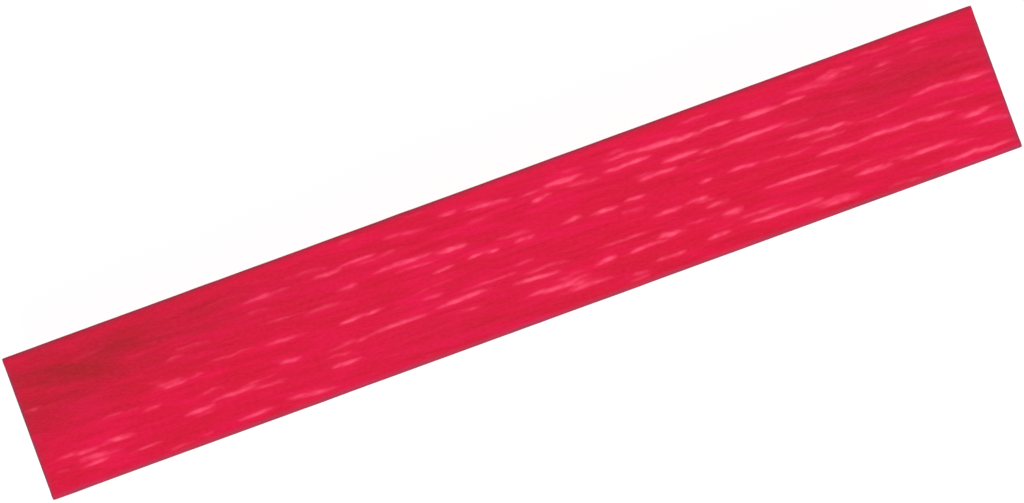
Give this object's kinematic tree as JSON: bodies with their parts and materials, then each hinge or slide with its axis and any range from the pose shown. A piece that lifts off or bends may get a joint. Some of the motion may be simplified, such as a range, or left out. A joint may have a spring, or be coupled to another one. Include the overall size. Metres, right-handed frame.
{
  "type": "crayon",
  "caption": "Square-section stick crayon in a folded and pasted sleeve of crinkled paper. The wax stick slides along the sleeve, so that either end can be pushed out to mark.",
  "frame": {"origin": "centre of the lapped back face, on which the crayon lies", "axes": "+X along the length towards the end with the pour dish, +Z from the back face to the front face, +Y across the width"},
  "size_m": [0.068, 0.01, 0.0103],
  "materials": {
    "sleeve_paper": "crinkled, matte",
    "wax": "waxy satin",
    "paste": "satin"
  },
  "bodies": {
    "sleeve": {"paper_sleeve": "sleeve_paper", "seam_paste": "paste"},
    "stick": {"wax_stick": "wax"}
  },
  "joints": [
    {"name": "stick_slide", "type": "slide", "parent": "sleeve", "child": "stick", "axis": [1, 0, 0], "range_m": [-0.045, 0.045]}
  ]
}
